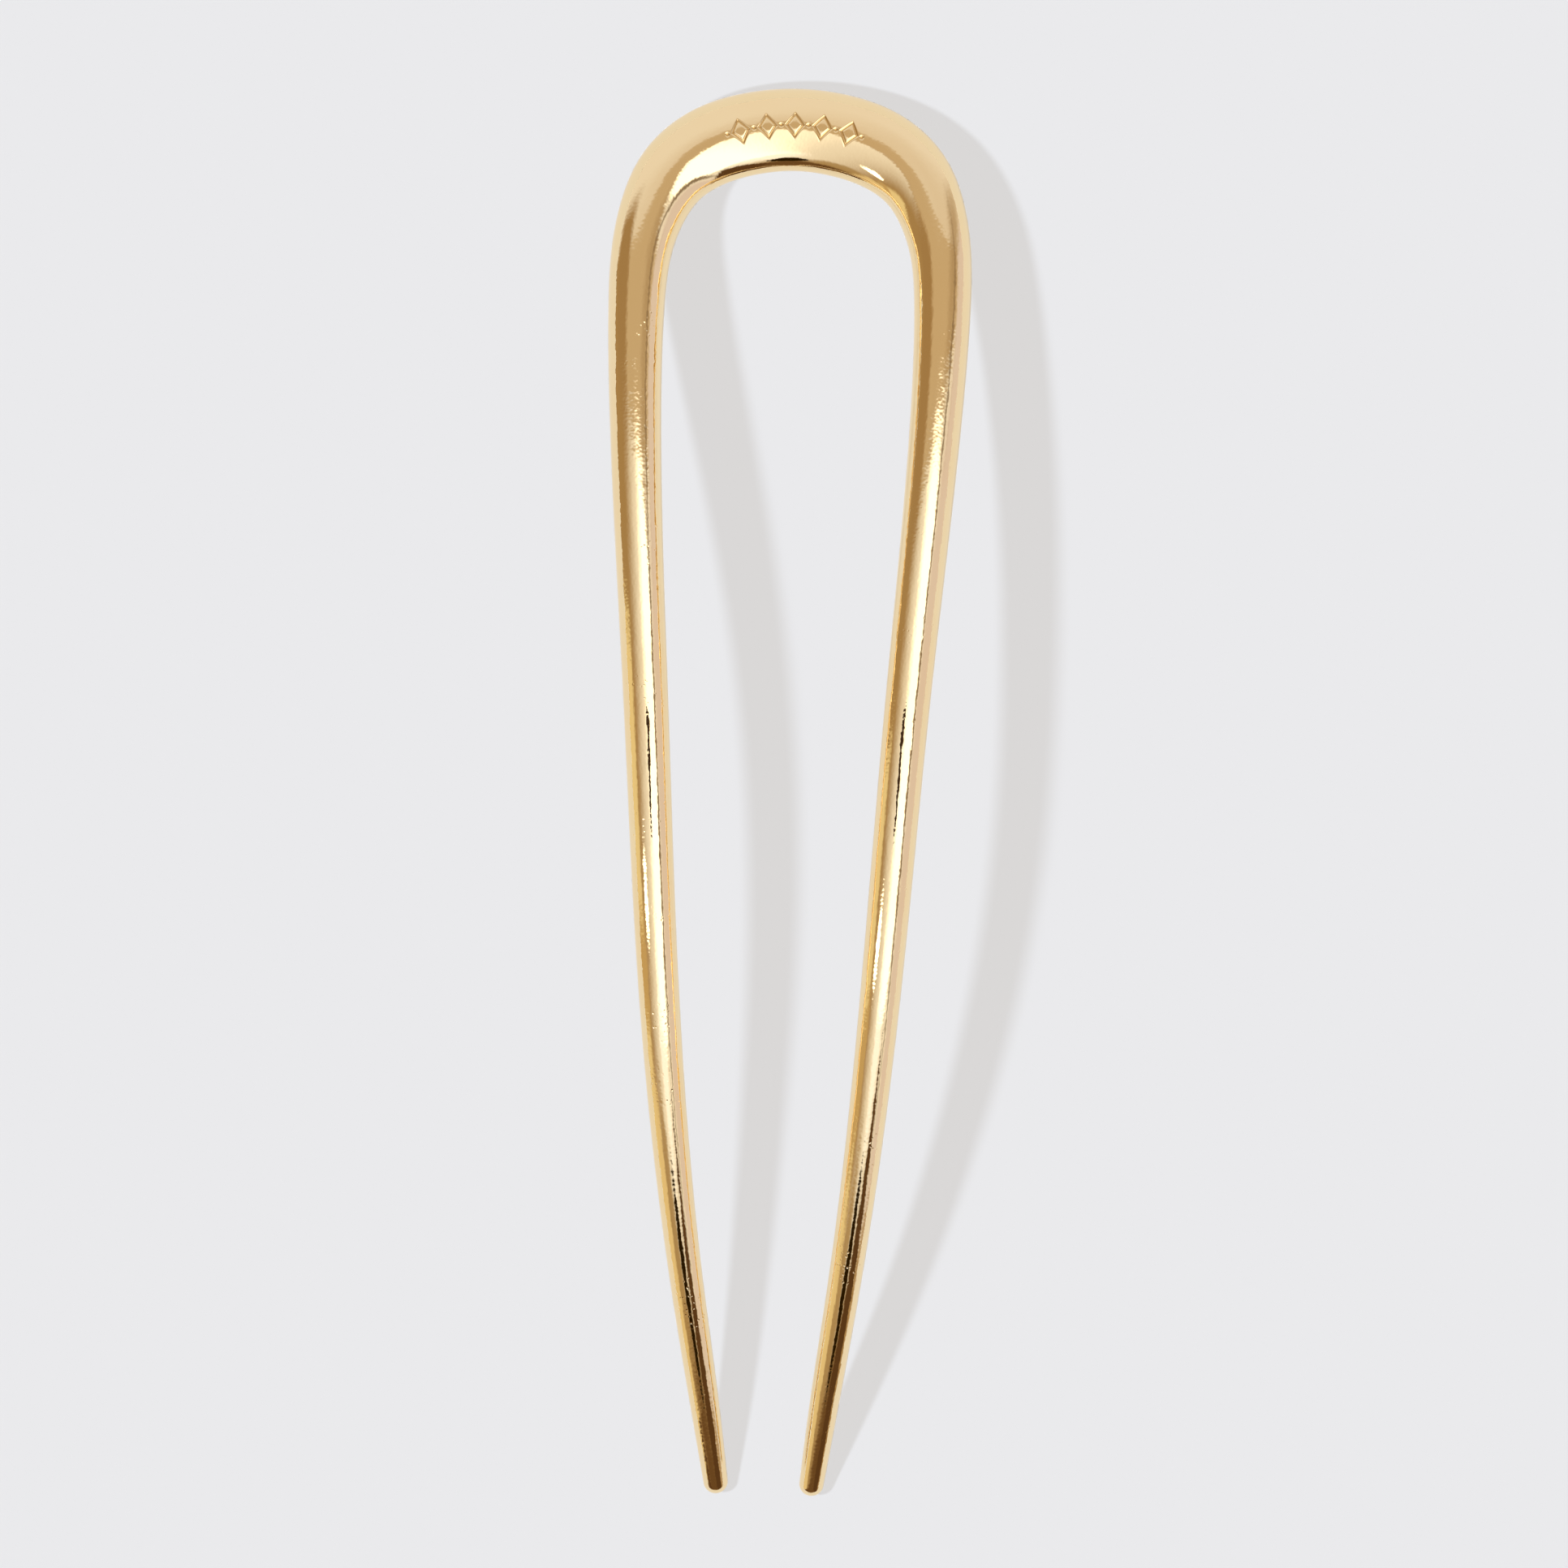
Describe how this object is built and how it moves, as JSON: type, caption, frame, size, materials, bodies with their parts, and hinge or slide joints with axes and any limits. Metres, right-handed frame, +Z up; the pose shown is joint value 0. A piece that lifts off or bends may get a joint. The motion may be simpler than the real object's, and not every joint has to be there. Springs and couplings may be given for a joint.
{
  "type": "french hair pin",
  "caption": "Long narrow U of cast, gold-plated metal with a wide rounded crown and two arched, tapering prongs that hold a twist or bun of hair.",
  "frame": {"origin": "on the surface that the pin lies on, under the middle of its box", "axes": "+Z up from the surface, +Y along the pin towards the crown, +X across it"},
  "size_m": [0.0308, 0.12, 0.0171],
  "materials": {
    "plated_metal": "polished pale gold plate on cast metal"
  },
  "bodies": {
    "root": {"pin": "plated_metal"}
  },
  "joints": []
}
